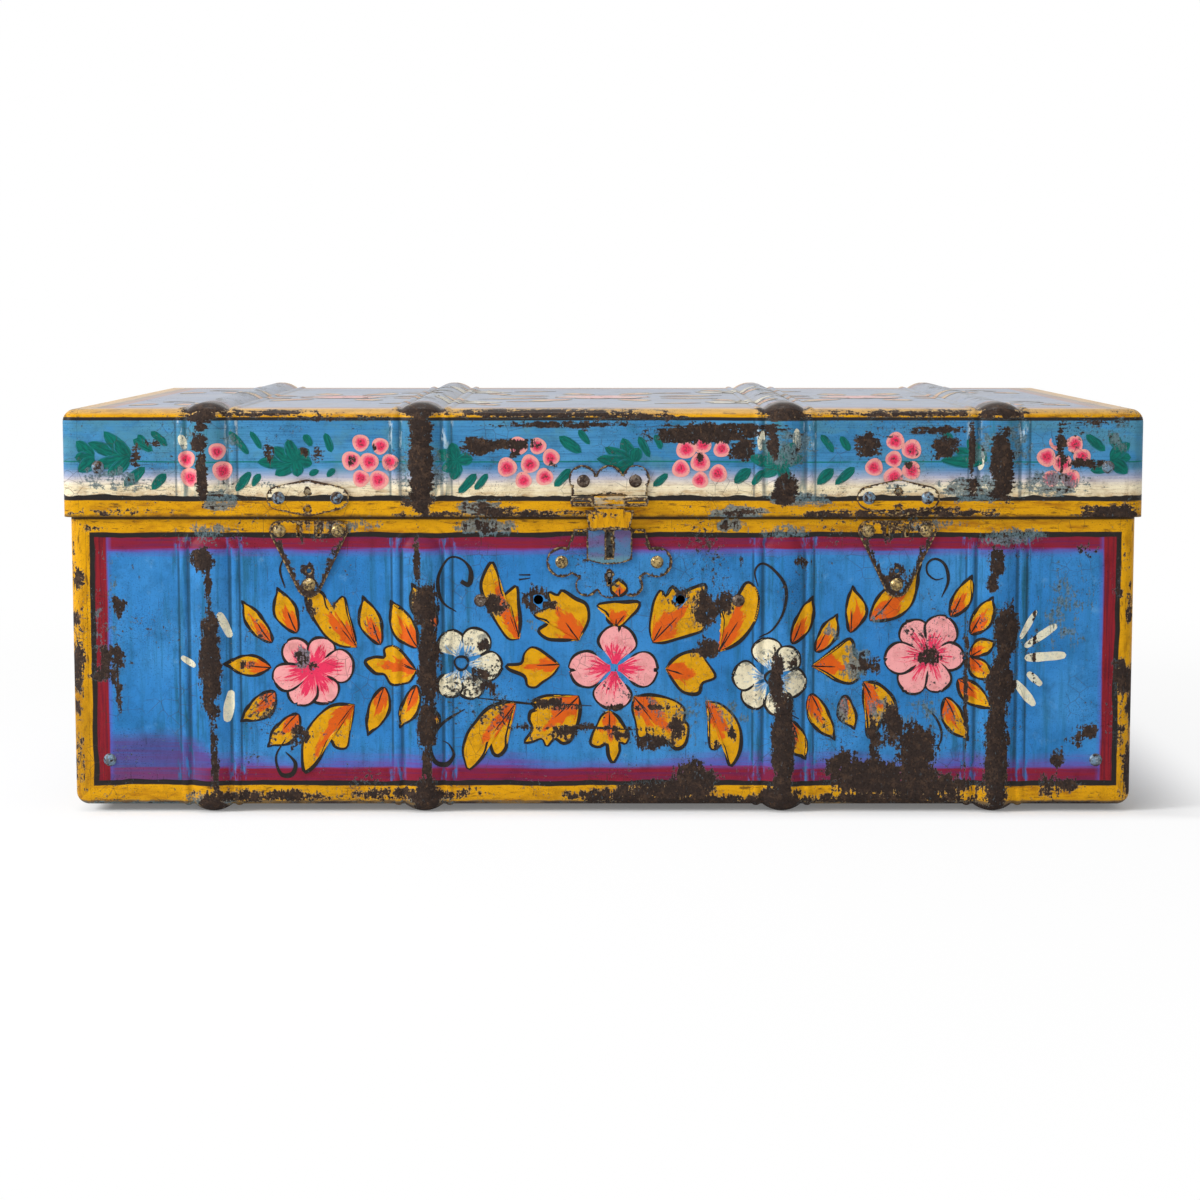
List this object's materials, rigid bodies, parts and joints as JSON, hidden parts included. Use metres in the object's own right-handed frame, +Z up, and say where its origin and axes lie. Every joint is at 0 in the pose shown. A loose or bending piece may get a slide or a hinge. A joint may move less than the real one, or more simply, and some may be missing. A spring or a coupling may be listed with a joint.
{
  "type": "metal trunk",
  "caption": "Hand-painted sheet-steel trunk with pressed ribs, a back-hinged lid, a hasp over a scalloped lock plate and side catch plates.",
  "frame": {"origin": "middle of the width and of the depth over the hasp and hinge knuckles, on the plane of the worn rib crests that the trunk stands on", "axes": "+X along the width to the right as seen from the front, -Y out of the front with the lock, +Z up"},
  "size_m": [0.667, 0.4316, 0.2556],
  "materials": {
    "painted_sheet": "worn gloss",
    "painted_hasp": "worn gloss",
    "worn_steel": "worn",
    "worn_brass": "tarnished",
    "rusty_steel": "rusted"
  },
  "bodies": {
    "trunk": {"body_wrap": "painted_sheet", "body_end_left": "painted_sheet", "body_end_right": "painted_sheet", "body_rim_wire": "rusty_steel", "body_seam_rivets": "rusty_steel", "hinge_body_leaf_left": "rusty_steel", "hinge_body_leaf_right": "rusty_steel", "hinge_pin_left": "worn_steel", "hinge_pin_right": "worn_steel", "hinge_body_rivets": "rusty_steel", "lock_plate": "worn_steel", "lock_case": "worn_steel", "lock_guide_pins": "worn_steel", "lock_key_post": "worn_steel", "lock_spring": "worn_steel", "lock_rivets": "worn_brass", "catch_base_left": "worn_steel", "catch_base_right": "worn_steel", "catch_base_rivets": "worn_brass", "handle_rivets": "rusty_steel"},
    "lid": {"lid_wrap": "painted_sheet", "lid_end_left": "painted_sheet", "lid_end_right": "painted_sheet", "lid_seam_rivets": "rusty_steel", "hinge_lid_leaf_left": "rusty_steel", "hinge_lid_leaf_right": "rusty_steel", "hinge_lid_rivets": "rusty_steel", "hasp_plate": "worn_steel", "hasp_pin": "worn_steel", "hasp_plate_rivets": "rusty_steel", "catch_keeper_left": "worn_steel", "catch_keeper_right": "worn_steel", "catch_keeper_rivets": "worn_brass"},
    "hasp": {"hasp": "painted_hasp"},
    "bolt": {"lock_bolt": "worn_brass"}
  },
  "joints": [
    {"name": "lid_hinge", "type": "hinge", "parent": "trunk", "child": "lid", "pos_m": [0, 0.2123, 0.18355], "axis": [-1, 0, 0], "range_deg": [0, 105]},
    {"name": "hasp_swing", "type": "hinge", "parent": "lid", "child": "hasp", "pos_m": [0.004, -0.2123, 0.19485], "axis": [-1, 0, 0], "range_deg": [0, 160]},
    {"name": "bolt_slide", "type": "slide", "parent": "trunk", "child": "bolt", "axis": [-1, 0, 0], "range_m": [0, 0.006]}
  ]
}
